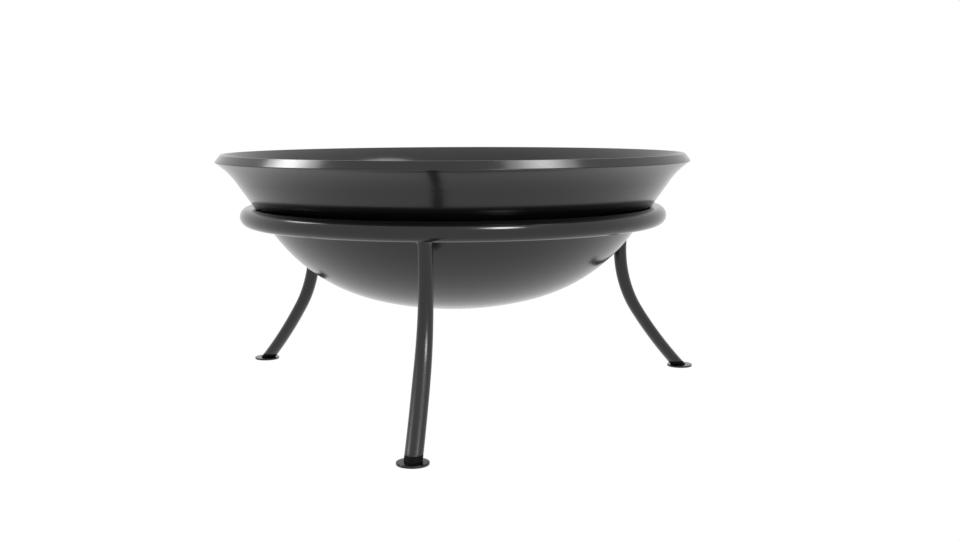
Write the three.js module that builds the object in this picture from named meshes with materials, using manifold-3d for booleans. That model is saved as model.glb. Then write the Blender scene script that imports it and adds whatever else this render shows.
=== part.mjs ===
// Fire bowl for burning coal, loose in the ring of a three-legged tube stand, with a lift-out grate.
// Millimetres, +Z up, origin on the floor under the bowl's axis, one leg towards -Y.
import * as THREE from "three";
import { mergeVertices } from "three/addons/utils/BufferGeometryUtils.js";
import Module from "manifold-3d";

const RAD = Math.PI / 180;
const GAP = 0.3; // clearance between pieces that touch
const ROUND = 48; // facets round the bowl, the ring and the grate ring

// Bowl: cast shell, dished below, straight and then flared above, thickened to a rim with a square-cut face
const RIM_RADIUS = 350; // the rim face's lower edge
const LAND_RADIUS = 341.5; // the rim face's upper edge, round a narrow level land
const LAND_WIDTH = 2;
const BOWL_TOP = 360;
const BOWL_UNDERSIDE = 129.5;
const BOWL_WALL = 5;
const DISH_RADIUS = 486;
const DISH_SLOPE = 15.5 * RAD; // steepness where the dish turns into the tighter knuckle
const KNUCKLE_RADIUS = 251;
const SIDE_SLOPE = 55.4 * RAD; // steepness of the straight side
const FLARE_RADIUS = 109;
const FLARE_SLOPE = 33.3 * RAD; // steepness at the rim

// Stand: one bent ring of tube and three bent legs
const RING_RADIUS = 302.4;
const RING_HEIGHT = 269.7;
const RING_TUBE = 13.45;
const RING_WALL = 2.3;
const VENT_RADIUS = 4; // hole from the ring's bore into each leg
const LEG_TUBE = 10;
const LEG_WALL = 2;
const LEG_BEND = 178.7;
const LEG_TUCK = 21.7 * RAD; // the top of a leg leans in below the ring
const LEG_KNEE = 35 * RAD; // its lean outwards where the bend eases into a long sweep
const LEG_SPLAY = 45 * RAD; // its lean outwards at the foot
const ROUND_ABOVE = 190; // height above which a leg's tube is round
const OVAL_BELOW = 70; // height below which it is fully oval
const OVAL_WIDE = 1.16; // the oval's width over the round tube's, across the leg's plane
const OVAL_THIN = 0.89; // and its thickness over the round tube's, in the leg's plane
const LEG_STEPS = 14;
const LEG_SIDES = 14;
const LEG_AZIMUTHS = [-90, 30, 150].map((degrees) => degrees * RAD);
const WELD_TOE = 4; // how far a weld bead spreads beyond the leg

// Feet: round plate, plastic plug in the tube's end, and a countersunk screw
const PLATE_RADIUS = 20.5;
const PLATE_THICKNESS = 3;
const COLLAR_TOP = 9.5;
const SPIGOT_RISE = 14;
const SCREW_RADIUS = 1.9;
const SCREW_TOP = 9;
const HEAD_RADIUS = 3.8;
const HEAD_BASE = 0.1;
const HEX_KEY = 1.4;

// Grate: a ring of rod that rests on the bowl's wall, with bars, a brace and two lifting loops
const GRATE_RADIUS = 190;
const GRATE_ROD = 5;
const GRATE_SEAT_GAP = 0.5;
const BAR_ROD = 4;
const BAR_COUNT = 9;
const BAR_PITCH = 36;
const BRACE_HALF_LENGTH = 172;
const LOOP_ROD = 3;
const LOOP_BEND = 25;
const LOOP_LEG = 14;
const LOOP_OFFSET = 188.6; // the loop's plane, over the grate ring

// Centres of the bowl's arcs, in the plane of radius and height
const dishCentre = new THREE.Vector2(0, BOWL_UNDERSIDE + DISH_RADIUS);
const knuckleCentre = onArc(dishCentre, DISH_RADIUS - KNUCKLE_RADIUS, DISH_SLOPE);
const sideStart = onArc(knuckleCentre, KNUCKLE_RADIUS, SIDE_SLOPE);
const flareReach = FLARE_RADIUS * (Math.sin(SIDE_SLOPE) - Math.sin(FLARE_SLOPE));
const sideLength = (RIM_RADIUS - flareReach - sideStart.x) / Math.cos(SIDE_SLOPE);
const flareCentre = new THREE.Vector2(
  sideStart.x + sideLength * Math.cos(SIDE_SLOPE) + FLARE_RADIUS * Math.sin(SIDE_SLOPE),
  sideStart.y + sideLength * Math.sin(SIDE_SLOPE) - FLARE_RADIUS * Math.cos(SIDE_SLOPE),
);

// The inside of the flare shares its centre, and ends at the land's inner edge.
const landSpoke = new THREE.Vector2(LAND_RADIUS - LAND_WIDTH, BOWL_TOP).sub(flareCentre);
const RIM_WALL = landSpoke.length() - FLARE_RADIUS;
const LAND_SLOPE = Math.atan2(-landSpoke.x, landSpoke.y);

// Height at which the grate ring rests on the inside of the knuckle
const grateReach = KNUCKLE_RADIUS - BOWL_WALL - GRATE_ROD - GRATE_SEAT_GAP;
const GRATE_HEIGHT =
  knuckleCentre.y - Math.sqrt(grateReach ** 2 - (GRATE_RADIUS - knuckleCentre.x) ** 2);

const wasm = await Module();
wasm.setup();

const coat = new THREE.MeshStandardMaterial({ color: 0x3b3b3d, roughness: 0.35, metalness: 0.1 });
const plastic = new THREE.MeshStandardMaterial({ color: 0x0b0b0b, roughness: 0.6, metalness: 0 });
const zinc = new THREE.MeshStandardMaterial({ color: 0x9a9ca0, roughness: 0.35, metalness: 1 });
const iron = new THREE.MeshStandardMaterial({ color: 0x33302e, roughness: 0.8, metalness: 0.4 });

// The point of an arc where an outline that curves upwards has the given slope.
function onArc(centre, radius, slope) {
  return new THREE.Vector2(
    centre.x + radius * Math.sin(slope),
    centre.y - radius * Math.cos(slope),
  );
}

// Points along an arc from one slope to another; a negative radius curves downwards.
function arcPoints(centre, radius, from, to, steps) {
  const points = [];
  for (let i = 0; i <= steps; i++)
    points.push(onArc(centre, radius, from + ((to - from) * i) / steps));
  return points;
}

// Solid of revolution about Z of a profile in radius and height.
function revolve(points, segments = ROUND) {
  return new THREE.LatheGeometry(points, segments).rotateX(Math.PI / 2);
}

function polygon(pairs) {
  return pairs.map(([x, y]) => new THREE.Vector2(x, y));
}

// Ring of round rod or tube wall about Z.
function torus(radius, height, rod, sides) {
  const centre = new THREE.Vector2(radius, height);
  return revolve(arcPoints(centre, rod, 0, 2 * Math.PI, sides));
}

function toSolid(geometry) {
  const bare = geometry.clone();
  bare.deleteAttribute("normal");
  bare.deleteAttribute("uv");
  const merged = mergeVertices(bare, 1e-3);
  return new wasm.Manifold(
    new wasm.Mesh({
      numProp: 3,
      vertProperties: merged.attributes.position.array,
      triVerts: new Uint32Array(merged.index.array),
    }),
  );
}

function toGeometry(solid) {
  const mesh = solid.getMesh();
  const geometry = new THREE.BufferGeometry();
  geometry.setAttribute("position", new THREE.BufferAttribute(mesh.vertProperties, 3));
  geometry.setIndex(new THREE.BufferAttribute(mesh.triVerts, 1));
  geometry.computeVertexNormals();
  return geometry;
}

function piece(name, geometry, material) {
  const mesh = new THREE.Mesh(geometry, material);
  mesh.name = name;
  return mesh;
}

// Centre line of a bent rod in one plane: runs of a length and a turn, from a start and a heading.
// The heading is the angle from straight down, positive outwards; place() puts the plane in space.
class RodLine extends THREE.Curve {
  constructor(start, heading, runs, place) {
    super();
    Object.assign(this, { start, heading, runs, place });
    this.total = runs.reduce((sum, run) => sum + run.length, 0);
  }

  getPoint(t, target = new THREE.Vector3()) {
    let [across, up] = this.start;
    let heading = this.heading;
    let left = t * this.total;
    for (const { length, turn } of this.runs) {
      const part = Math.max(0, Math.min(left, length));
      const swing = (turn * part) / length;
      const chord = swing ? (2 * Math.sin(swing / 2) * length) / turn : part;
      across += chord * Math.sin(heading + swing / 2);
      up -= chord * Math.cos(heading + swing / 2);
      heading += swing;
      left -= part;
    }
    return target.copy(this.place(across, up));
  }
}

function sweep(line, rod, steps, sides) {
  const section = new THREE.Shape().absarc(0, 0, rod, 0, 2 * Math.PI);
  return new THREE.ExtrudeGeometry(section, {
    steps,
    curveSegments: sides / 2,
    extrudePath: line,
    bevelEnabled: false,
  });
}

// Closed solid over a stack of equal rings of points, which turn right-handed about their advance.
function stackRings(rings) {
  const count = rings[0].length;
  const last = (rings.length - 1) * count;
  const middles = [rings[0], rings[rings.length - 1]].map((ring) =>
    ring.reduce((sum, point) => sum.add(point), new THREE.Vector3()).divideScalar(count),
  );
  const faces = [];
  for (let j = 0; j < count; j++) {
    const next = (j + 1) % count;
    for (let a = 0; a < last; a += count) {
      const b = a + count;
      faces.push(a + j, a + next, b + next, a + j, b + next, b + j);
    }
    faces.push(last + count, next, j, last + count + 1, last + j, last + next);
  }
  const vertices = [...rings.flat(), ...middles].flatMap((point) => point.toArray());
  const mesh = new wasm.Mesh({
    numProp: 3,
    vertProperties: new Float32Array(vertices),
    triVerts: new Uint32Array(faces),
  });
  return new wasm.Manifold(mesh);
}

// Cylinder from one point to another.
function rodBetween(from, to, radius, sides) {
  const length = from.distanceTo(to);
  const direction = to.clone().sub(from).normalize();
  const upright = new THREE.Vector3(0, 1, 0);
  return new THREE.CylinderGeometry(radius, radius, length, sides)
    .translate(0, length / 2, 0)
    .applyQuaternion(new THREE.Quaternion().setFromUnitVectors(upright, direction))
    .translate(from.x, from.y, from.z);
}

// A wide slab between two heights, for level cuts.
function slab(bottom, top) {
  const width = 3 * RIM_RADIUS;
  return toSolid(
    new THREE.BoxGeometry(width, width, top - bottom).translate(0, 0, (top + bottom) / 2),
  );
}

// Points up the straight side, set in from the outside by a wall that thickens smoothly.
function sidePoints(wall, rimWall) {
  const along = new THREE.Vector2(Math.cos(SIDE_SLOPE), Math.sin(SIDE_SLOPE));
  const inwards = new THREE.Vector2(-along.y, along.x);
  return [0.25, 0.5, 0.75].map((share) => {
    const inset = wall + (rimWall - wall) * share ** 2 * (3 - 2 * share);
    return sideStart.clone().addScaledVector(along, share * sideLength)
      .addScaledVector(inwards, inset);
  });
}

// One face of the bowl's wall, from the axis up to the rim; outside it is set in by nothing.
function wallFace(wall, rimWall, lastSlope) {
  return [
    ...arcPoints(dishCentre, DISH_RADIUS - wall, 0, DISH_SLOPE, 3),
    ...arcPoints(knuckleCentre, KNUCKLE_RADIUS - wall, DISH_SLOPE, SIDE_SLOPE, 8).slice(1),
    ...(rimWall > wall ? sidePoints(wall, rimWall) : []),
    ...arcPoints(flareCentre, -FLARE_RADIUS - rimWall, SIDE_SLOPE, lastSlope, 5),
  ];
}

function bowlShell() {
  const outside = wallFace(0, 0, FLARE_SLOPE);
  const land = new THREE.Vector2(LAND_RADIUS, BOWL_TOP);
  const inside = wallFace(BOWL_WALL, RIM_WALL, LAND_SLOPE).reverse();
  return piece("bowl_shell", revolve([...outside, land, ...inside]), coat);
}

const ringOutside = toSolid(torus(RING_RADIUS, RING_HEIGHT, RING_TUBE, 14));
const ringClearance = toSolid(torus(RING_RADIUS, RING_HEIGHT, RING_TUBE + GAP, 14));

function legLine(azimuth) {
  const bend = LEG_TUCK + LEG_KNEE;
  const below = RING_HEIGHT - LEG_BEND * (Math.sin(LEG_KNEE) + Math.sin(LEG_TUCK));
  const lowerRadius = below / (Math.sin(LEG_SPLAY) - Math.sin(LEG_KNEE));
  const lowerBend = LEG_SPLAY - LEG_KNEE;
  const runs = [
    { length: LEG_BEND * bend, turn: bend },
    { length: lowerRadius * lowerBend, turn: lowerBend },
  ];
  const place = (across, up) =>
    new THREE.Vector3(across * Math.cos(azimuth), across * Math.sin(azimuth), up);
  return new RodLine([RING_RADIUS, RING_HEIGHT], -LEG_TUCK, runs, place);
}

// Ring of points round a leg's line, oval near the floor: wide across the leg's plane, thin in it.
function legOutline(middle, along, side, radius, height = middle.z) {
  const oval = THREE.MathUtils.smoothstep(-height, -ROUND_ABOVE, -OVAL_BELOW);
  const thin = radius * (1 + (OVAL_THIN - 1) * oval);
  const wide = radius * (1 + (OVAL_WIDE - 1) * oval);
  const front = side.clone().cross(along);
  return Array.from({ length: LEG_SIDES }, (_, j) => {
    const turn = (2 * Math.PI * j) / LEG_SIDES;
    return middle.clone()
      .addScaledVector(front, thin * Math.cos(turn))
      .addScaledVector(side, wide * Math.sin(turn));
  });
}

function legSide(azimuth) {
  return new THREE.Vector3(-Math.sin(azimuth), Math.cos(azimuth), 0);
}

// Solid inside a leg's outline of the given radius, all the way along its line.
function legSolid(azimuth, radius) {
  const line = legLine(azimuth);
  const rings = [];
  for (let i = 0; i <= LEG_STEPS; i++) {
    const share = i / LEG_STEPS;
    const [middle, along] = [line.getPointAt(share), line.getTangentAt(share)];
    rings.push(legOutline(middle, along, legSide(azimuth), radius));
  }
  return stackRings(rings);
}

function supportRing() {
  const bore = toSolid(torus(RING_RADIUS, RING_HEIGHT, RING_TUBE - RING_WALL, 10));
  const vents = LEG_AZIMUTHS.map((azimuth) => {
    const line = legLine(azimuth);
    const below = line.getPointAt((1.5 * RING_TUBE) / line.total);
    return toSolid(rodBetween(line.getPoint(0), below, VENT_RADIUS, 8));
  });
  const ring = vents.reduce((rest, vent) => rest.subtract(vent), ringOutside.subtract(bore));
  return piece("support_ring", toGeometry(ring), coat);
}

function leg(number, azimuth) {
  const tube = legSolid(azimuth, LEG_TUBE).subtract(legSolid(azimuth, LEG_TUBE - LEG_WALL));
  const cut = tube.subtract(ringClearance).intersect(slab(COLLAR_TOP + GAP, BOWL_TOP));
  return piece(`leg_${number}`, toGeometry(largest(cut)), coat);
}

// The biggest separate body of a cut solid, without the slivers beyond the cut.
function largest(solid) {
  return solid.decompose().reduce((a, b) => (a.volume() > b.volume() ? a : b));
}

// Fillet bead round the top of a leg, saddled on the ring.
function legWeld(number, azimuth) {
  const line = legLine(azimuth);
  const profile = polygon([
    [0, RING_TUBE * 0.4],
    [LEG_TUBE + 1, RING_TUBE * 0.55],
    [LEG_TUBE + WELD_TOE * 0.8, RING_TUBE * 0.8],
    [LEG_TUBE + WELD_TOE, RING_TUBE + 0.4],
    [LEG_TUBE + WELD_TOE * 0.5, RING_TUBE + WELD_TOE * 0.5],
    [LEG_TUBE + GAP + 0.4, RING_TUBE + WELD_TOE * 1.4],
    [0, RING_TUBE + WELD_TOE * 1.4],
  ]);
  const down = line.getTangentAt(0);
  const turned = new THREE.Quaternion().setFromUnitVectors(new THREE.Vector3(0, 0, 1), down);
  const at = line.getPoint(0);
  const blank = toSolid(revolve(profile, 20).applyQuaternion(turned).translate(at.x, at.y, at.z));
  const tube = legSolid(azimuth, LEG_TUBE + GAP);
  const bead = largest(blank.subtract(ringClearance).subtract(tube));
  return piece(`leg_weld_${number}`, toGeometry(bead), coat);
}

function footPlate(number, at) {
  const mouth = HEAD_RADIUS + HEAD_BASE + GAP;
  const hole = SCREW_RADIUS + GAP;
  const profile = polygon([
    [mouth, 0],
    [PLATE_RADIUS, 0],
    [PLATE_RADIUS, PLATE_THICKNESS],
    [hole, PLATE_THICKNESS],
    [hole, mouth - hole],
    [mouth, 0],
  ]);
  return piece(`foot_plate_${number}`, revolve(profile, 24).translate(at.x, at.y, 0), coat);
}

// Plug whose collar carries on the leg's slant down to the plate, with a spigot up the bore.
function footPlug(number, azimuth) {
  const line = legLine(azimuth);
  const foot = line.getPoint(1);
  const down = line.getTangentAt(1);
  const reach = COLLAR_TOP / down.z;
  const ends = [3 * reach, -reach].map((length) => {
    const middle = foot.clone().addScaledVector(down, length);
    return legOutline(middle, down, legSide(azimuth), LEG_TUBE, 0);
  });
  const collar = stackRings(ends).intersect(slab(PLATE_THICKNESS + GAP, COLLAR_TOP));
  const spigot = legSolid(azimuth, LEG_TUBE - LEG_WALL - GAP)
    .intersect(slab(COLLAR_TOP - 1, COLLAR_TOP + SPIGOT_RISE));
  const hole = toSolid(
    rodBetween(foot, foot.clone().setZ(SCREW_TOP + GAP), SCREW_RADIUS + GAP, 12),
  );
  return piece(`foot_plug_${number}`, toGeometry(collar.add(spigot).subtract(hole)), plastic);
}

function footScrew(number, at) {
  const profile = polygon([
    [0, HEAD_BASE],
    [HEAD_RADIUS, HEAD_BASE],
    [SCREW_RADIUS, HEAD_BASE + HEAD_RADIUS - SCREW_RADIUS],
    [SCREW_RADIUS, SCREW_TOP - 0.6],
    [SCREW_RADIUS - 0.6, SCREW_TOP],
    [0, SCREW_TOP],
  ]);
  const socket = new THREE.CylinderGeometry(HEX_KEY, HEX_KEY, 2 * HEX_KEY, 6).rotateX(Math.PI / 2);
  const screw = toSolid(revolve(profile, 12)).subtract(toSolid(socket));
  return piece(`foot_screw_${number}`, toGeometry(screw).translate(at.x, at.y, 0), zinc);
}

function legSet(index) {
  const number = index + 1;
  const azimuth = LEG_AZIMUTHS[index];
  const foot = legLine(azimuth).getPoint(1);
  return [
    leg(number, azimuth),
    legWeld(number, azimuth),
    footPlug(number, azimuth),
    footPlate(number, foot),
    footScrew(number, foot),
  ];
}

function grateBar(number) {
  const x = (number - (BAR_COUNT + 1) / 2) * BAR_PITCH;
  const half = Math.sqrt(GRATE_RADIUS ** 2 - x ** 2);
  const ends = [-half, half].map((y) => new THREE.Vector3(x, y, GRATE_HEIGHT));
  const clearance = toSolid(torus(GRATE_RADIUS, GRATE_HEIGHT, GRATE_ROD + GAP, 12));
  const bar = largest(toSolid(rodBetween(...ends, BAR_ROD, 10)).subtract(clearance));
  return piece(`grate_bar_${number}`, toGeometry(bar), iron);
}

function grateBrace() {
  const z = GRATE_HEIGHT - 2 * BAR_ROD - GAP;
  const ends = [-1, 1].map((side) => new THREE.Vector3(side * BRACE_HALF_LENGTH, 0, z));
  return piece("grate_brace", rodBetween(...ends, BAR_ROD, 10), iron);
}

// Upturned U of rod on the grate ring, for lifting it with tongs.
function liftingLoop(number, side) {
  const runs = [
    { length: LOOP_LEG, turn: 0 },
    { length: LOOP_BEND * Math.PI, turn: -Math.PI },
    { length: LOOP_LEG, turn: 0 },
  ];
  const place = (across, up) => new THREE.Vector3(side * LOOP_OFFSET, across, up);
  const line = new RodLine([-LOOP_BEND, GRATE_HEIGHT], Math.PI, runs, place);
  const clearance = toSolid(torus(GRATE_RADIUS, GRATE_HEIGHT, GRATE_ROD + GAP, 12));
  const loop = largest(toSolid(sweep(line, LOOP_ROD, 14, 8)).subtract(clearance));
  return piece(`grate_loop_${number}`, toGeometry(loop), iron);
}

function grate() {
  const parts = [
    piece("grate_ring", torus(GRATE_RADIUS, GRATE_HEIGHT, GRATE_ROD, 10), iron),
    grateBrace(),
    liftingLoop(1, 1),
    liftingLoop(2, -1),
  ];
  for (let number = 1; number <= BAR_COUNT; number++) parts.push(grateBar(number));
  return parts;
}

const group = new THREE.Group();
group.add(supportRing(), ...LEG_AZIMUTHS.flatMap((_, index) => legSet(index)));
group.add(bowlShell());
group.add(...grate());

export default group;
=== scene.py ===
import math

import bmesh
import bpy
import numpy as np
from mathutils import Matrix, Vector


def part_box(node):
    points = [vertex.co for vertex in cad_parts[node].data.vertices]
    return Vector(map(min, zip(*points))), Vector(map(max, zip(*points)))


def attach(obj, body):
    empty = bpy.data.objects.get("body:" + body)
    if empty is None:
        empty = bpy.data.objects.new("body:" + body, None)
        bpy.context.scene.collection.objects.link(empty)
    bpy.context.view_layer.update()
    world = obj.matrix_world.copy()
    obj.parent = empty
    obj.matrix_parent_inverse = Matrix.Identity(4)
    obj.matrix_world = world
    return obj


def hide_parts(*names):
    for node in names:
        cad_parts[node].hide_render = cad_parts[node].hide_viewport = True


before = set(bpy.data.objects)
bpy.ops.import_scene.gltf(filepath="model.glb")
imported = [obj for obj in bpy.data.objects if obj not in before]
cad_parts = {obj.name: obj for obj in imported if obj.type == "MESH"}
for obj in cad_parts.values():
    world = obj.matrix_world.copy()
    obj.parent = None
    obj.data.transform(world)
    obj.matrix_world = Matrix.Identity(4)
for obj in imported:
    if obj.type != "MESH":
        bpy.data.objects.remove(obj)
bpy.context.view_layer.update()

MM = 0.001
TAU = 2 * math.pi

# Shapes in metres and radians. Places and the main radii come from the nodes' boxes further down.
BOWL_WALL = 5 * MM
LAND_RADIUS = 341.5 * MM
LAND_WIDTH = 2 * MM
BOWL_UNDERSIDE = 129.5 * MM
DISH_RADIUS = 486 * MM
DISH_SLOPE = math.radians(15.5)
KNUCKLE_RADIUS = 251 * MM
SIDE_SLOPE = math.radians(55.4)
FLARE_RADIUS = 109 * MM
FLARE_SLOPE = math.radians(33.3)
RIM_ROUND = 0.8 * MM
LAND_ROUND = 0.5 * MM
RING_RADIUS = 302.4 * MM
WELD_LEG = 4.5 * MM  # a leg's weld: how far it runs along the leg
WELD_SPREAD = 3.2 * MM  # and how far it spreads over the ring
LEG_TUBE = 10 * MM
LEG_WALL = 2 * MM
TUBE_EDGE = 0.35 * MM  # radius of the rounded edge at a leg's lower end
LEG_BEND = 178.7 * MM
LEG_TUCK = math.radians(21.7)
LEG_KNEE = math.radians(35)  # lean where the bend eases into a long sweep
LEG_SPLAY = math.radians(45)  # lean at the foot
ROUND_ABOVE = 190 * MM  # height above which a leg is round
OVAL_BELOW = 70 * MM  # height below which it is fully oval
OVAL_WIDE = 1.16
OVAL_THIN = 0.89
COLLAR_TOP = 9.5 * MM
SPIGOT_RISE = 14 * MM
PLUG_GAP = 0.3 * MM  # between the spigot and the tube's bore
SEAM = 0.15 * MM  # between the collar and the tube's end
EDGE = 0.4 * MM  # radius of the collar's edges
COUNTERSINK = 4.2 * MM
GRATE_RADIUS = 190 * MM
GRATE_ROD = 5 * MM
BAR_ROD = 4 * MM
LOOP_ROD = 3 * MM
LOOP_BEND = 25 * MM
LOOP_LEG = 14 * MM
BAR_WELD = (2.2 * MM, 1.8 * MM)  # along the bar, and over the grate ring
LOOP_WELD = (1.8 * MM, 1.6 * MM)
PAD_HALF_WIDTH = 2.6 * MM  # pad of weld where a bar crosses the brace
PAD_HALF_HEIGHT = 1.6 * MM
SCREW_HOLE = 2.2 * MM
SCREW_HOLE_TOP = 9.3 * MM
SCREW_BASE = 0.1 * MM
SCREW_HEAD = 3.8 * MM
SCREW_SHANK = 1.9 * MM
SCREW_TIP = 9 * MM
SOCKET = 1.25 * MM
SOCKET_DEPTH = 1.3 * MM
THREAD_PITCH = 0.7 * MM
THREAD_DEPTH = 0.35 * MM
EMBED = 0.4 * MM  # how far a welded piece runs into the one it is welded to

LEGS = (1, 2, 3)
BARS = range(1, 10)

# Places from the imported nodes
_, rim_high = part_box("bowl_shell")
RIM_RADIUS = rim_high.x
BOWL_TOP = rim_high.z
ring_low, ring_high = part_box("support_ring")
RING_HEIGHT = (ring_low.z + ring_high.z) / 2
RING_TUBE = (ring_high.z - ring_low.z) / 2
grate_low, grate_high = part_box("grate_ring")
GRATE_HEIGHT = (grate_low.z + grate_high.z) / 2
plate_low, plate_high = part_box("foot_plate_1")
PLATE_RADIUS = (plate_high.x - plate_low.x) / 2
PLATE_THICKNESS = plate_high.z


def centre(node):
    low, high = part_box(node)
    return (low + high) / 2


# ---------------------------------------------------------------- meshes

def skin(rings, wrap=False, first=None, last=None):
    """Vertices and faces over a stack of equal rings; first and last are points at its ends."""
    count = len(rings[0])
    vertices = [tuple(p) for ring in rings for p in ring]
    pairs = [(i, i + 1) for i in range(len(rings) - 1)]
    if wrap:
        pairs.append((len(rings) - 1, 0))
    faces = []
    for a, b in pairs:
        for j in range(count):
            k = (j + 1) % count
            faces.append((a * count + j, a * count + k, b * count + k, b * count + j))
    for point, ring in ((first, 0), (last, len(rings) - 1)):
        if point is None:
            continue
        vertices.append(tuple(point))
        pole = len(vertices) - 1
        for j in range(count):
            faces.append((ring * count + j, ring * count + (j + 1) % count, pole))
    return vertices, faces


def joined(*parts):
    vertices, faces = [], []
    for more_vertices, more_faces in parts:
        start = len(vertices)
        vertices += more_vertices
        faces += [tuple(i + start for i in face) for face in more_faces]
    return vertices, faces


def add_piece(name, shape, material, body, node, sharp=50):
    """A finished, outward-facing mesh that rides on a body and stands for one CAD node."""
    work = bmesh.new()
    made = [work.verts.new(p) for p in shape[0]]
    for face in shape[1]:
        work.faces.new([made[i] for i in face])
    bmesh.ops.recalc_face_normals(work, faces=work.faces)
    mesh = bpy.data.meshes.new(name)
    work.to_mesh(mesh)
    work.free()
    mesh.shade_smooth()
    mesh.set_sharp_from_angle(angle=math.radians(sharp))
    piece = bpy.data.objects.new(name, mesh)
    bpy.context.scene.collection.objects.link(piece)
    piece.data.materials.append(material)
    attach(piece, body)
    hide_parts(node)
    return piece


def circle(radius, height, count, centre_at=(0, 0)):
    turn = np.arange(count) * TAU / count
    return np.stack(
        [
            centre_at[0] + radius * np.cos(turn),
            centre_at[1] + radius * np.sin(turn),
            np.full(count, height),
        ],
        axis=1,
    )


def lathe(profile, count, centre_at=(0, 0), wrap=False):
    """Skin of a profile turned about a vertical axis; an end with radius 0 becomes a pole."""
    first = last = None
    inner = list(profile)
    if inner[0][0] == 0:
        first = (*centre_at, inner.pop(0)[1])
    if inner[-1][0] == 0:
        last = (*centre_at, inner.pop()[1])
    rings = [circle(r, z, count, centre_at) for r, z in inner]
    return skin(rings, wrap, first, last)


def rounded(points, radii, steps=6):
    """A polyline with each corner that has a radius turned into a short arc."""
    result = []
    for i, point in enumerate(points):
        radius = radii.get(i, 0)
        if not radius:
            result.append(tuple(point))
            continue
        here = Vector(point)
        back = (Vector(points[i - 1]) - here).normalized()
        ahead = (Vector(points[(i + 1) % len(points)]) - here).normalized()
        half = back.angle(ahead) / 2
        inwards = (back + ahead).normalized()
        middle = here + inwards * (radius / math.sin(half))
        start = here + back * (radius / math.tan(half))
        end = here + ahead * (radius / math.tan(half))
        for step in range(steps + 1):
            share = step / steps
            spoke = (start - middle).slerp(end - middle, share)
            result.append(tuple(middle + spoke.normalized() * radius))
    return result


def on_arc(middle, radius, slope):
    """The point of an arc where an outline that curves upwards has a slope."""
    return middle[0] + radius * math.sin(slope), middle[1] - radius * math.cos(slope)


def arc(middle, radius, start, end, steps):
    """Points of an arc between two slopes; a negative radius curves downwards."""
    return [on_arc(middle, radius, start + (end - start) * i / steps) for i in range(steps + 1)]


# ---------------------------------------------------------------- rods that meet a ring

def quarter(steps=4):
    """Insets of a rounded edge, as shares of its radius: from its one side and from its other."""
    turns = [math.pi / 2 * i / steps for i in range(steps + 1)]
    return [(1 - math.cos(turn), 1 - math.sin(turn)) for turn in turns]


class Ring:
    """A ring of rod or tube about the vertical axis."""

    def __init__(self, radius, height, rod):
        self.radius, self.height, self.rod = radius, height, rod

    def offset(self, points):
        """The vector from the ring's centre line to each point."""
        flat = np.hypot(points[:, 0], points[:, 1])
        share = self.radius / flat
        nearest = np.stack(
            [points[:, 0] * share, points[:, 1] * share, np.full(len(points), self.height)],
            axis=1,
        )
        return points - nearest

    def distance(self, points):
        return np.linalg.norm(self.offset(points), axis=1)

    def surface(self, points, depth=0.0):
        """The points moved straight to the ring's surface, or to a depth under it."""
        offset = self.offset(points)
        length = np.linalg.norm(offset, axis=1)[:, None]
        return points - offset + offset / length * (self.rod - depth)


class Rod:
    """A rod bent in one plane; its skin goes by the distance along it and the angle round it."""

    def __init__(self, origin, out, heading, runs, radius, count, oval=None):
        """The heading is the angle from straight down; a run is a length and its turn.

        The oval gives, for heights, the scales of the section in the rod's plane and across it.
        """
        self.origin, self.out = np.array(origin, float), np.array(out, float)
        self.heading, self.runs = heading, runs
        self.side = np.cross((0, 0, 1), self.out)
        self.radius, self.count = radius, count
        self.total = sum(length for length, _ in runs)
        self.turn = np.arange(count) * TAU / count
        self.oval = oval or (lambda heights: (1.0, 1.0))

    def line(self, s):
        """Centre points and normals at distances s, straight beyond both ends."""
        s = np.asarray(s, float)
        before, left = np.minimum(s, 0), np.maximum(s, 0)
        heading = np.full(s.shape, float(self.heading))
        across, rise = before * np.sin(heading), -before * np.cos(heading)
        for length, turn in self.runs:
            part = np.clip(left, 0, length)
            swing = turn * part / length
            chord = 2 * np.sin(swing / 2) * length / turn if turn else part
            across = across + chord * np.sin(heading + swing / 2)
            rise = rise - chord * np.cos(heading + swing / 2)
            heading = heading + swing
            left = left - part
        across = across + left * np.sin(heading)
        rise = rise - left * np.cos(heading)
        up = np.array((0, 0, 1.0))
        points = self.origin + across[..., None] * self.out + rise[..., None] * up
        normals = np.cos(heading)[..., None] * self.out + np.sin(heading)[..., None] * up
        return points, normals

    def skin_points(self, s, radius=None):
        """The skin's ring of points, with a distance along the rod for each angle."""
        radius = self.radius if radius is None else radius
        points, normals = self.line(np.broadcast_to(s, self.turn.shape))
        thin, wide = self.oval(points[:, 2])
        spokes = (thin * np.cos(self.turn))[:, None] * normals
        spokes = spokes + (wide * np.sin(self.turn))[:, None] * self.side
        return points + np.asarray(radius) * spokes

    def spokes(self, s):
        _, normals = self.line(np.broadcast_to(s, self.turn.shape))
        return np.cos(self.turn)[:, None] * normals + np.sin(self.turn)[:, None] * self.side

    def where(self, test, low, high, radius=None):
        """For each angle, the distance along the rod where test turns from negative to positive."""
        low = np.full(self.count, float(low))
        high = np.full(self.count, float(high))
        for _ in range(40):
            middle = (low + high) / 2
            past = test(self.skin_points(middle, radius)) > 0
            high = np.where(past, middle, high)
            low = np.where(past, low, middle)
        return (low + high) / 2


def bend(a, b, c, share):
    """A curve from a to c that leaves and arrives along the lines to b."""
    return a * (1 - share) ** 2 + b * 2 * share * (1 - share) + c * share ** 2


def fillet(rod, ring, meet, start, spread, steps):
    """Rings of a fillet from a rod's skin at start to a ring's skin beyond where they meet."""
    corner = rod.skin_points(meet)
    toe = ring.surface(corner + rod.spokes(meet) * spread[:, None])
    bead = rod.skin_points(start)
    return [bend(bead, corner, toe, i / steps) for i in range(steps + 1)]


# ---------------------------------------------------------------- materials

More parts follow.
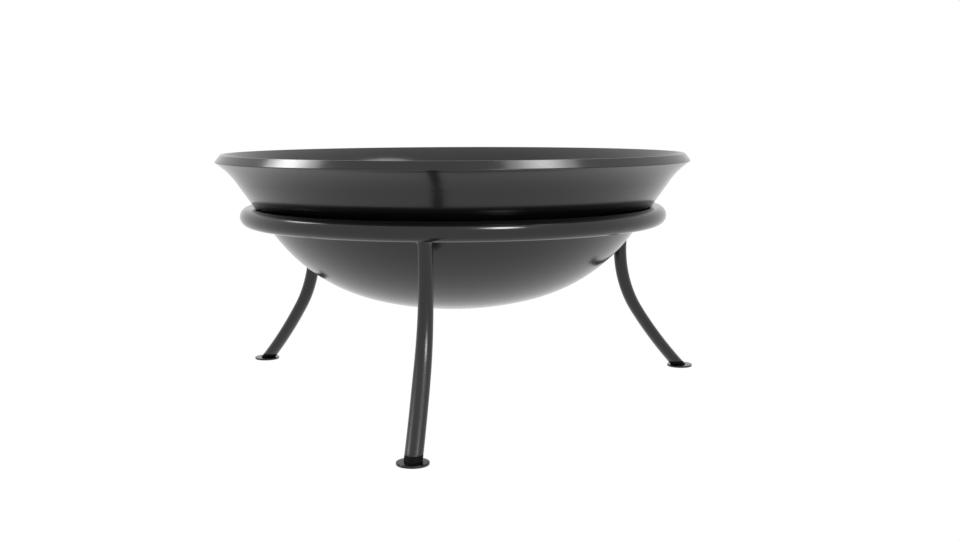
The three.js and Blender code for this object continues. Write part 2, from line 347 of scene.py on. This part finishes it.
def shader(name, base, roughness, metallic=0.0, specular=0.5):
    material = bpy.data.materials.new(name)
    material.use_nodes = True
    surface = material.node_tree.nodes["Principled BSDF"]
    surface.inputs["Base Color"].default_value = (*base, 1)
    surface.inputs["Roughness"].default_value = roughness
    surface.inputs["Metallic"].default_value = metallic
    surface.inputs["Specular IOR Level"].default_value = specular
    return material, surface


class Graph:
    """Short calls for the nodes of one material."""

    def __init__(self, material):
        self.tree = material.node_tree
        self.place = self.add("ShaderNodeTexCoord").outputs["Object"]

    def add(self, kind, **settings):
        node = self.tree.nodes.new(kind)
        for key, value in settings.items():
            setattr(node, key, value)
        return node

    def link(self, source, target):
        self.tree.links.new(source, target)

    def noise(self, scale, detail=3.0, roughness=0.5, stretch=None):
        node = self.add("ShaderNodeTexNoise")
        node.inputs["Scale"].default_value = scale
        node.inputs["Detail"].default_value = detail
        node.inputs["Roughness"].default_value = roughness
        place = self.place
        if stretch:
            mapping = self.add("ShaderNodeMapping")
            mapping.inputs["Scale"].default_value = stretch
            self.link(place, mapping.inputs["Vector"])
            place = mapping.outputs["Vector"]
        self.link(place, node.inputs["Vector"])
        return node.outputs["Fac"]

    def ramp(self, source, low, high, start=0.3, end=0.7):
        """Maps start..end of a value to low..high, numbers or colours."""
        if isinstance(low, (tuple, list)):
            node = self.add("ShaderNodeValToRGB")
            node.color_ramp.elements[0].position = start
            node.color_ramp.elements[1].position = end
            node.color_ramp.elements[0].color = (*low, 1)
            node.color_ramp.elements[1].color = (*high, 1)
            self.link(source, node.inputs["Fac"])
            return node.outputs["Color"]
        node = self.add("ShaderNodeMapRange")
        node.inputs["From Min"].default_value = start
        node.inputs["From Max"].default_value = end
        node.inputs["To Min"].default_value = low
        node.inputs["To Max"].default_value = high
        self.link(source, node.inputs["Value"])
        return node.outputs["Result"]

    def combine(self, kind, a, b):
        node = self.add("ShaderNodeMath", operation=kind)
        for socket, value in zip(node.inputs, (a, b)):
            if isinstance(value, (int, float)):
                socket.default_value = value
            else:
                self.link(value, socket)
        return node.outputs["Value"]

    def mix(self, share, a, b):
        node = self.add("ShaderNodeMix", data_type="RGBA")
        for key, value in (("Factor", share), ("A", a), ("B", b)):
            socket = next(s for s in node.inputs if s.name == key and s.enabled)
            if isinstance(value, (tuple, list)):
                socket.default_value = (*value, 1)
            elif isinstance(value, (int, float)):
                socket.default_value = value
            else:
                self.link(value, socket)
        return next(s for s in node.outputs if s.enabled)

    def bump(self, surface, layers):
        """Layers of (height, distance in metres, strength) on the surface's normal."""
        normal = None
        for height, distance, strength in layers:
            node = self.add("ShaderNodeBump")
            node.inputs["Distance"].default_value = distance
            node.inputs["Strength"].default_value = strength
            self.link(height, node.inputs["Height"])
            if normal is not None:
                self.link(normal, node.inputs["Normal"])
            normal = node.outputs["Normal"]
        self.link(normal, surface.inputs["Normal"])


COAT = 0.002  # the coat's own reflectance, under its gloss
RUBBED = (0.05, 0.05, 0.051)


def black_coat(name, smooth, rough):
    """Near-black coat: mottling, gloss between two roughnesses, orange peel, rubbed edges."""
    material, surface = shader(name, (COAT, COAT, COAT), (smooth + rough) / 2)
    graph = Graph(material)
    cloud = graph.noise(9, 4, 0.55)
    peel = graph.noise(700, 2, 0.5)
    grain = graph.noise(2600, 2, 0.6)
    colour = graph.ramp(cloud, (COAT * 0.8,) * 3, (COAT * 1.2, COAT * 1.2, COAT * 1.25))
    edge = graph.add("ShaderNodeNewGeometry").outputs["Pointiness"]
    edge_share = graph.ramp(edge, 0, 1, 0.53, 0.6)
    patches = graph.ramp(graph.noise(60, 5), 0, 0.5, 0.5, 0.72)
    scuff = graph.combine("MULTIPLY", edge_share, patches)
    graph.link(graph.mix(scuff, colour, RUBBED), surface.inputs["Base Color"])
    gloss = graph.ramp(cloud, smooth, rough)
    fine = graph.ramp(graph.noise(180, 3), -0.015, 0.02)
    graph.link(graph.combine("ADD", gloss, fine), surface.inputs["Roughness"])
    graph.bump(surface, [(peel, 0.00001, 0.35), (grain, 0.000002, 0.3)])
    return material


def plug_plastic():
    """Moulded matt black plastic for the foot plugs; its near-black, almost unreflecting finish is
    painted shade.
    """
    # Very low specular keeps the plug near black: painted shade for the dark band above each foot.
    material, surface = shader("plug_plastic", (0.003, 0.003, 0.003), 0.62, specular=0.05)
    graph = Graph(material)
    cloud = graph.noise(120, 3)
    colour = graph.ramp(cloud, (0.002,) * 3, (0.004, 0.004, 0.0038))
    graph.link(colour, surface.inputs["Base Color"])
    graph.link(graph.ramp(cloud, 0.55, 0.72), surface.inputs["Roughness"])
    graph.bump(surface, [(graph.noise(3500, 2), 0.00002, 0.4)])
    return material


def zinc_steel():
    """Zinc-plated screw steel with fine turning marks."""
    material, surface = shader("zinc_steel", (0.52, 0.53, 0.54), 0.32, metallic=1.0)
    graph = Graph(material)
    cloud = graph.noise(400, 4)
    colour = graph.ramp(cloud, (0.42, 0.43, 0.42), (0.58, 0.59, 0.6))
    graph.link(colour, surface.inputs["Base Color"])
    graph.link(graph.ramp(cloud, 0.26, 0.42), surface.inputs["Roughness"])
    graph.bump(surface, [(graph.noise(2500, 3, stretch=(0.2, 1, 1)), 0.00002, 0.4)])
    return material


def grate_iron():
    """Bare rod, darkened by heat, with scale, soot and a little rust."""
    material, surface = shader("grate_iron", (0.04, 0.037, 0.035), 0.68, metallic=0.55)
    graph = Graph(material)
    patch = graph.noise(26, 6, 0.6)
    scale = graph.noise(420, 5, 0.6)
    dark = graph.ramp(patch, (0.022, 0.021, 0.021), (0.06, 0.055, 0.052))
    rust = graph.ramp(graph.noise(90, 6, 0.65), 0, 0.6, 0.58, 0.75)
    graph.link(graph.mix(rust, dark, (0.085, 0.04, 0.022)), surface.inputs["Base Color"])
    rough = graph.combine("ADD", graph.ramp(patch, 0.52, 0.78), graph.ramp(scale, -0.06, 0.08))
    graph.link(rough, surface.inputs["Roughness"])
    graph.bump(surface, [(scale, 0.00025, 0.5), (graph.noise(1500, 3), 0.00006, 0.4)])
    return material


COATED = black_coat("black_coat", 0.13, 0.18)
LEG_COAT = black_coat("leg_coat", 0.24, 0.29)
PLASTIC_AS_PAINTED_SHADE = plug_plastic()
ZINC = zinc_steel()
IRON = grate_iron()


# ---------------------------------------------------------------- bowl

SIDE_STEPS = 14


class BowlWall:
    """The bowl's arcs, in the plane of radius and height."""

    def __init__(self):
        self.dish = (0, BOWL_UNDERSIDE + DISH_RADIUS)
        self.knuckle = on_arc(self.dish, DISH_RADIUS - KNUCKLE_RADIUS, DISH_SLOPE)
        self.start = Vector(on_arc(self.knuckle, KNUCKLE_RADIUS, SIDE_SLOPE))
        self.along = Vector((math.cos(SIDE_SLOPE), math.sin(SIDE_SLOPE)))
        self.inwards = Vector((-self.along.y, self.along.x))
        reach = FLARE_RADIUS * (math.sin(SIDE_SLOPE) - math.sin(FLARE_SLOPE))
        self.length = (RIM_RADIUS - reach - self.start.x) / self.along.x
        self.flare = self.start + self.along * self.length - self.inwards * FLARE_RADIUS

    def face(self, wall, rim_wall, last_slope):
        """One face of the wall, from the axis up to the rim; outside it is set in by nothing."""
        points = arc(self.dish, DISH_RADIUS - wall, 0, DISH_SLOPE, 14)
        points += arc(self.knuckle, KNUCKLE_RADIUS - wall, DISH_SLOPE, SIDE_SLOPE, 20)[1:]
        for step in range(1, SIDE_STEPS):
            share = step / SIDE_STEPS
            inset = wall + (rim_wall - wall) * share ** 2 * (3 - 2 * share)
            level = self.start + self.along * self.length * share
            points.append(tuple(level + self.inwards * inset))
        points += arc(self.flare, -FLARE_RADIUS - rim_wall, SIDE_SLOPE, last_slope, 16)
        return points


def between(start, end, shares):
    """Points on the way from one point to another."""
    return [tuple(Vector(start).lerp(Vector(end), share)) for share in shares]


def bowl_shell():
    wall = BowlWall()
    outside = wall.face(0, 0, FLARE_SLOPE)
    edge = outside[-1]
    land_outer = (LAND_RADIUS, BOWL_TOP)
    land_inner = (LAND_RADIUS - LAND_WIDTH, BOWL_TOP)
    spoke = Vector(land_inner) - wall.flare
    land_slope = math.atan2(-spoke.x, spoke.y)
    inside = wall.face(BOWL_WALL, spoke.length - FLARE_RADIUS, land_slope)
    rim = between(edge, land_outer, (0.12, 0.5, 0.9))
    profile = outside + rim + [land_outer] + inside[::-1]
    radii = {
        len(outside) - 1: RIM_ROUND,
        len(outside) + 3: LAND_ROUND,
        len(outside) + 4: LAND_ROUND,
    }
    return lathe(rounded(profile, radii), 288)


add_piece("bowl", bowl_shell(), COATED, "bowl", "bowl_shell", sharp=60)


# ---------------------------------------------------------------- stand

def ring_skin(radius, height, rod, count, sides):
    turn = [TAU * i / sides for i in range(sides)]
    profile = [(radius + rod * math.sin(t), height - rod * math.cos(t)) for t in turn]
    return lathe(profile, count, wrap=True)


add_piece(
    "ring",
    ring_skin(RING_RADIUS, RING_HEIGHT, RING_TUBE, 288, 56),
    COATED,
    "stand",
    "support_ring",
)


def leg_oval(heights):
    """A leg's section: round at the top, wider and thinner towards the foot."""
    share = np.clip((ROUND_ABOVE - heights) / (ROUND_ABOVE - OVAL_BELOW), 0, 1)
    share = share ** 2 * (3 - 2 * share)
    return 1 + (OVAL_THIN - 1) * share, 1 + (OVAL_WIDE - 1) * share


def leg_rod(azimuth):
    """The leg's line: a bend out from under the ring that eases into a long sweep to the foot."""
    bend = LEG_TUCK + LEG_KNEE
    below = RING_HEIGHT - LEG_BEND * (math.sin(LEG_KNEE) + math.sin(LEG_TUCK))
    lower_radius = below / (math.sin(LEG_SPLAY) - math.sin(LEG_KNEE))
    lower_bend = LEG_SPLAY - LEG_KNEE
    runs = [(LEG_BEND * bend, bend), (lower_radius * lower_bend, lower_bend)]
    out = (math.cos(azimuth), math.sin(azimuth), 0)
    origin = (RING_RADIUS * out[0], RING_RADIUS * out[1], RING_HEIGHT)
    return Rod(origin, out, -LEG_TUCK, runs, LEG_TUBE, 48, leg_oval)


def level_cut(rod, height, radius=None):
    """The distance along a leg, for each angle round it, where a level crosses its skin."""
    low, high = rod.total - 6 * LEG_TUBE, rod.total + 3 * LEG_TUBE
    return rod.where(lambda p: height - p[:, 2], low, high, radius)


def tube_skin(rod, wall, top, bottom, edge):
    """A hollow tube whose two ends vary round it, with a rounded lower edge."""
    rings = []
    for share in np.linspace(0, 1, 72):
        rings.append(rod.skin_points(top + (bottom - edge - top) * share))
    for inset, short in quarter()[1:]:
        rings.append(rod.skin_points(bottom - edge * short, rod.radius - edge * inset))
    bore = rod.radius - wall
    rings.append(rod.skin_points(bottom, bore))
    for share in np.linspace(0.02, 1, 40):
        rings.append(rod.skin_points(bottom + (top - bottom) * share, bore))
    return skin(rings, wrap=True)


def leg(rod, ring):
    top = rod.where(lambda p: ring.distance(p) - ring.rod + EMBED, 0, 5 * LEG_TUBE)
    bottom = level_cut(rod, COLLAR_TOP + SEAM)
    return tube_skin(rod, LEG_WALL, top, bottom, TUBE_EDGE)


def leg_weld(rod, ring):
    """A closed fillet bead, slightly rippled, between the leg and the ring."""
    turn = rod.turn
    ripples = np.sin(turn * 7) + 0.6 * np.sin(turn * 13 + 1.3) + 0.4 * np.sin(turn * 23)
    wave = 1 + 0.03 * ripples
    meet = rod.where(lambda p: ring.distance(p) - ring.rod, 0, 5 * LEG_TUBE)
    start = meet + WELD_LEG * wave
    rings = fillet(rod, ring, meet, start, WELD_SPREAD * wave, 12)
    under_toe = ring.surface(rings[-1], EMBED)
    under_meet = rod.skin_points(meet - 3 * EMBED, rod.radius - EMBED)
    under_start = rod.skin_points(start, rod.radius - EMBED)
    return skin([*rings, under_toe, under_meet, under_start], wrap=True)


def foot_plug(rod, at):
    """A slanted collar on the plate, with a spigot up the leg and a hole for the screw."""
    foot = np.array([at.x, at.y, 0.0])

    def cut(radius, height):
        return rod.skin_points(level_cut(rod, height, radius), radius)

    def level(radius, height):
        """A level circle over the foot whose points follow the collar's."""
        ring = cut(LEG_TUBE, 0) - foot
        return foot + ring / np.linalg.norm(ring, axis=1)[:, None] * radius + (0, 0, height)

    base = PLATE_THICKNESS + 0.02 * MM
    bore = LEG_TUBE - LEG_WALL - PLUG_GAP
    tip_level = COLLAR_TOP + SPIGOT_RISE
    tip = rod.where(lambda p: tip_level - p[:, 2], 0, rod.total, 0).mean()
    rings = [level(SCREW_HOLE, SCREW_HOLE_TOP), level(SCREW_HOLE, base)]
    for rise, inset in quarter():
        rings.append(cut(LEG_TUBE - EDGE * inset, base + EDGE * rise))
    rings.append(cut(LEG_TUBE, (base + COLLAR_TOP) / 2))
    for inset, drop in quarter():
        rings.append(cut(LEG_TUBE - EDGE * inset, COLLAR_TOP - EDGE * drop))
    rings.append(cut(bore, COLLAR_TOP))
    rings.append(rod.skin_points(tip + 1.5 * MM, bore))
    rings.append(rod.skin_points(tip, bore - 1.2 * MM))
    return skin(rings, first=foot + (0, 0, SCREW_HOLE_TOP), last=rod.line(tip)[0])


def foot_plate(at):
    """A round plate with soft edges and a countersunk hole."""
    profile = [
        (COUNTERSINK, 0),
        (PLATE_RADIUS - 1.6 * MM, 0),
        (PLATE_RADIUS, 0),
        (PLATE_RADIUS, PLATE_THICKNESS),
        (PLATE_RADIUS - 1.8 * MM, PLATE_THICKNESS),
        (SCREW_HOLE, PLATE_THICKNESS),
        (SCREW_HOLE, COUNTERSINK - SCREW_HOLE),
    ]
    profile = rounded(profile, {2: 0.5 * MM, 3: 0.6 * MM}, 5)
    return lathe(profile, 96, (at.x, at.y), wrap=True)


def foot_screw(at):
    """Countersunk socket screw: hexagon socket in the head, thread on the shank."""
    count = 48
    turn = np.arange(count) * TAU / count
    hexagon = SOCKET / np.cos((turn % (TAU / 6)) - TAU / 12)

    def ring(radius, height):
        radius = np.broadcast_to(radius, turn.shape)
        height = np.broadcast_to(height, turn.shape)
        across = (at.x + radius * np.cos(turn), at.y + radius * np.sin(turn))
        return np.stack([*across, height], axis=1)

    bevel = 0.15 * MM
    neck = SCREW_BASE + SCREW_HEAD - SCREW_SHANK
    rings = [
        ring(hexagon * 0.98, SCREW_BASE + SOCKET_DEPTH + 0.1 * MM),
        ring(hexagon, SCREW_BASE + SOCKET_DEPTH),
        ring(hexagon, SCREW_BASE + bevel),
        ring(hexagon * 1.1, SCREW_BASE),
        ring(SCREW_HEAD - 0.2 * MM, SCREW_BASE),
        ring(SCREW_HEAD, SCREW_BASE + bevel),
        ring(SCREW_SHANK, neck + 0.05 * MM),
    ]
    height = neck + 0.4 * MM
    while height < SCREW_TIP - 0.6 * MM:
        phase = (height / THREAD_PITCH - turn / TAU) % 1
        rings.append(ring(SCREW_SHANK - THREAD_DEPTH * np.abs(2 * phase - 1), height))
        height += THREAD_PITCH / 8
    core = SCREW_SHANK - THREAD_DEPTH
    rings.append(ring(core, SCREW_TIP - 0.5 * MM))
    rings.append(ring(core - 0.4 * MM, SCREW_TIP))
    socket_tip = (at.x, at.y, SCREW_BASE + SOCKET_DEPTH + 0.6 * MM)
    return skin(rings, first=socket_tip, last=(at.x, at.y, SCREW_TIP))


support = Ring(RING_RADIUS, RING_HEIGHT, RING_TUBE)
for number in LEGS:
    foot = centre(f"foot_plate_{number}")
    rod = leg_rod(math.atan2(foot.y, foot.x))
    pieces = (
        ("leg", "leg", leg(rod, support), LEG_COAT, "black_coat", 50),
        ("weld", "leg_weld", leg_weld(rod, support), LEG_COAT, "black_coat", 80),
        ("plug", "foot_plug", foot_plug(rod, foot), PLASTIC_AS_PAINTED_SHADE, "plug_plastic", 50),
        ("plate", "foot_plate", foot_plate(foot), COATED, "black_coat", 50),
        ("screw", "foot_screw", foot_screw(foot), ZINC, "zinc_steel", 35),
    )
    for name, node, shape, material, slot, sharp in pieces:
        node = f"{node}_{number}"
        add_piece(f"stand_{name}_{number}", shape, material, "stand", node, sharp)


# ---------------------------------------------------------------- grate

grate_ring = Ring(GRATE_RADIUS, GRATE_HEIGHT, GRATE_ROD)
add_piece(
    "coal_grate_ring",
    ring_skin(GRATE_RADIUS, GRATE_HEIGHT, GRATE_ROD, 216, 28),
    IRON,
    "grate",
    "grate_ring",
)


def welded_rod(rod, ring, middle_steps, along, spread):
    """A rod whose two ends flare into the ring that they are welded to."""
    ends = []
    for end, sign in ((0, -1), (rod.total, 1)):
        meet = rod.where(lambda p: ring.rod - ring.distance(p), rod.total / 2, end)
        wave = 1 + 0.06 * np.sin(rod.turn * 5 + end * 40) + 0.05 * np.sin(rod.turn * 9 + 2)
        start = meet - sign * along * wave
        rings = fillet(rod, ring, meet, start, spread * wave, 8)
        rings.append(ring.surface(rod.skin_points(meet), EMBED))
        ends.append((start, rings))
    (start, first), (stop, last) = ends
    shares = [i / middle_steps for i in range(1, middle_steps)]
    middle = [rod.skin_points(start + (stop - start) * share) for share in shares]
    rings = first[::-1] + middle + last
    return skin(rings, first=rings[0].mean(axis=0), last=rings[-1].mean(axis=0))


def nugget(x, low, high, half_width):
    """A small pad of weld between two crossing rods."""
    profile = [
        (0, low),
        (half_width * 0.7, low),
        (half_width * 0.95, low + (high - low) * 0.2),
        (half_width, (low + high) / 2),
        (half_width * 0.95, high - (high - low) * 0.2),
        (half_width * 0.7, high),
        (0, high),
    ]
    return lathe(profile, 20, (x, 0))


def brace():
    """The rod under the bars, with rounded ends and a weld at each bar."""
    low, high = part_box("grate_brace")
    half, height = high.x, (low.z + high.z) / 2
    rod = Rod((-half, 0, height), (1, 0, 0), math.pi / 2, [(2 * half, 0.0)], BAR_ROD, 24)
    soft = 0.8 * MM
    ends = [(soft * inset, BAR_ROD - soft * short) for inset, short in quarter()]
    rings = [rod.skin_points(a, r) for a, r in ends]
    rings += [rod.skin_points(soft + (2 * half - 2 * soft) * i / 40) for i in range(1, 40)]
    rings += [rod.skin_points(2 * half - a, r) for a, r in ends[::-1]]
    shape = skin(rings, first=(-half, 0, height), last=(half, 0, height))
    crossing = (height + GRATE_HEIGHT) / 2
    low, high = crossing - PAD_HALF_HEIGHT, crossing + PAD_HALF_HEIGHT
    pads = [nugget(centre(f"grate_bar_{n}").x, low, high, PAD_HALF_WIDTH) for n in BARS]
    return joined(shape, *pads)


for number in BARS:
    x = centre(f"grate_bar_{number}").x
    half = math.sqrt(GRATE_RADIUS ** 2 - x ** 2)
    bar = Rod((x, -half, GRATE_HEIGHT), (0, 1, 0), math.pi / 2, [(2 * half, 0.0)], BAR_ROD, 24)
    add_piece(
        f"coal_grate_bar_{number}",
        welded_rod(bar, grate_ring, 30, *BAR_WELD),
        IRON,
        "grate",
        f"grate_bar_{number}",
        sharp=80,
    )

add_piece("coal_grate_brace", brace(), IRON, "grate", "grate_brace")

for number in (1, 2):
    x = centre(f"grate_loop_{number}").x
    runs = [(LOOP_LEG, 0.0), (LOOP_BEND * math.pi, -math.pi), (LOOP_LEG, 0.0)]
    loop = Rod((x, -LOOP_BEND, GRATE_HEIGHT), (0, 1, 0), math.pi, runs, LOOP_ROD, 20)
    add_piece(
        f"coal_grate_loop_{number}",
        welded_rod(loop, grate_ring, 48, *LOOP_WELD),
        IRON,
        "grate",
        f"grate_loop_{number}",
        sharp=80,
    )


# ---------------------------------------------------------------- studio

FLOOR_HALF_WIDTH = 20
FLOOR_GAP = 0.5 * MM  # below the feet


def studio():
    """A plain white surround and floor."""
    world = bpy.data.worlds.new("studio")
    world.use_nodes = True
    background = world.node_tree.nodes["Background"]
    background.inputs["Color"].default_value = (1, 1, 1, 1)
    background.inputs["Strength"].default_value = 1.0
    bpy.context.scene.world = world
    bpy.context.scene.view_settings.view_transform = "Standard"
    floor_material = bpy.data.materials.new("studio_floor")
    floor_material.use_nodes = True
    tree = floor_material.node_tree
    tree.nodes.clear()
    glow = tree.nodes.new("ShaderNodeEmission")
    glow.inputs["Color"].default_value = (1, 1, 1, 1)
    glow.inputs["Strength"].default_value = 1.0
    output = tree.nodes.new("ShaderNodeOutputMaterial")
    tree.links.new(glow.outputs["Emission"], output.inputs["Surface"])
    far = FLOOR_HALF_WIDTH
    mesh = bpy.data.meshes.new("floor")
    corners = [(-far, -far, 0), (far, -far, 0), (far, far, 0), (-far, far, 0)]
    mesh.from_pydata(corners, [], [(0, 1, 2, 3)])
    floor = bpy.data.objects.new("floor", mesh)
    floor.location = (0, 0, -FLOOR_GAP)
    floor.data.materials.append(floor_material)
    bpy.context.scene.collection.objects.link(floor)


LAMP_DISTANCE = 10
LAMP_STEP = 0.1  # between a lamp's discs
SOFT_EDGE = ((0.5, 0.3), (1.0, 0.38), (1.7, 0.32))  # nested discs: shares of width and of light
LAMP_TARGET = Vector((0, 0, 0.25))


def lamp(name, azimuth, elevation, spread, radiance):
    """A soft-edged round lamp that faces the bowl; the spread is its width as an angle."""
    azimuth, elevation = math.radians(azimuth), math.radians(elevation)
    away = Vector(
        (
            math.cos(azimuth) * math.cos(elevation),
            math.sin(azimuth) * math.cos(elevation),
            math.sin(elevation),
        )
    )
    for number, (width_share, light_share) in enumerate(SOFT_EDGE):
        distance = LAMP_DISTANCE + number * LAMP_STEP
        width = 2 * distance * math.tan(math.radians(spread) / 2)
        data = bpy.data.lights.new(f"{name}_{number}", "AREA")
        data.shape = "DISK"
        data.size = width * width_share
        area = math.pi * (data.size / 2) ** 2
        data.energy = radiance * light_share * math.pi * area
        obj = bpy.data.objects.new(f"{name}_{number}", data)
        obj.location = LAMP_TARGET + away * distance
        obj.rotation_mode = "QUATERNION"
        obj.rotation_quaternion = away.to_track_quat("Z", "Y")
        obj.visible_camera = False
        bpy.context.scene.collection.objects.link(obj)


CAMERA_DISTANCE = 1.806  # from the bowl's axis
CAMERA_HEIGHT = 0.41265
CAMERA_AZIMUTH = math.radians(-82.8)
CAMERA_AIM = (1.2413, 7.251, -0.1913)  # pan from the axis, pitch down and roll, in degrees
CAMERA_LENS = 45.09
CAMERA_SENSOR = 36


def camera():
    """The viewpoint: a little above the rim, with the front leg towards it."""
    distance, azimuth = CAMERA_DISTANCE, CAMERA_AZIMUTH
    pan, pitch, roll = (math.radians(degrees) for degrees in CAMERA_AIM)
    forward = Vector(
        (math.sin(pan) * math.cos(pitch), math.cos(pan) * math.cos(pitch), -math.sin(pitch))
    )
    right = Vector((math.cos(pan), -math.sin(pan), 0))
    up = right.cross(forward)
    tilted_right = math.cos(roll) * right + math.sin(roll) * up
    tilted_up = -math.sin(roll) * right + math.cos(roll) * up
    turned = Matrix((tilted_right, tilted_up, -forward)).transposed().to_4x4()
    data = bpy.data.cameras.new("camera")
    data.lens = CAMERA_LENS
    data.sensor_width = CAMERA_SENSOR
    obj = bpy.data.objects.new("camera", data)
    spin = Matrix.Rotation(azimuth + math.pi / 2, 4, "Z")
    place = Vector((distance * math.cos(azimuth), distance * math.sin(azimuth), CAMERA_HEIGHT))
    obj.matrix_world = Matrix.Translation(place) @ spin @ turned
    bpy.context.scene.collection.objects.link(obj)
    bpy.context.scene.camera = obj


studio()
lamp("lamp_back_left", 169.5, 43.5, 14, 16)
lamp("lamp_right", -9, 62.7, 14, 12)
lamp("lamp_front_right", -55, 38, 11, 35)
camera()
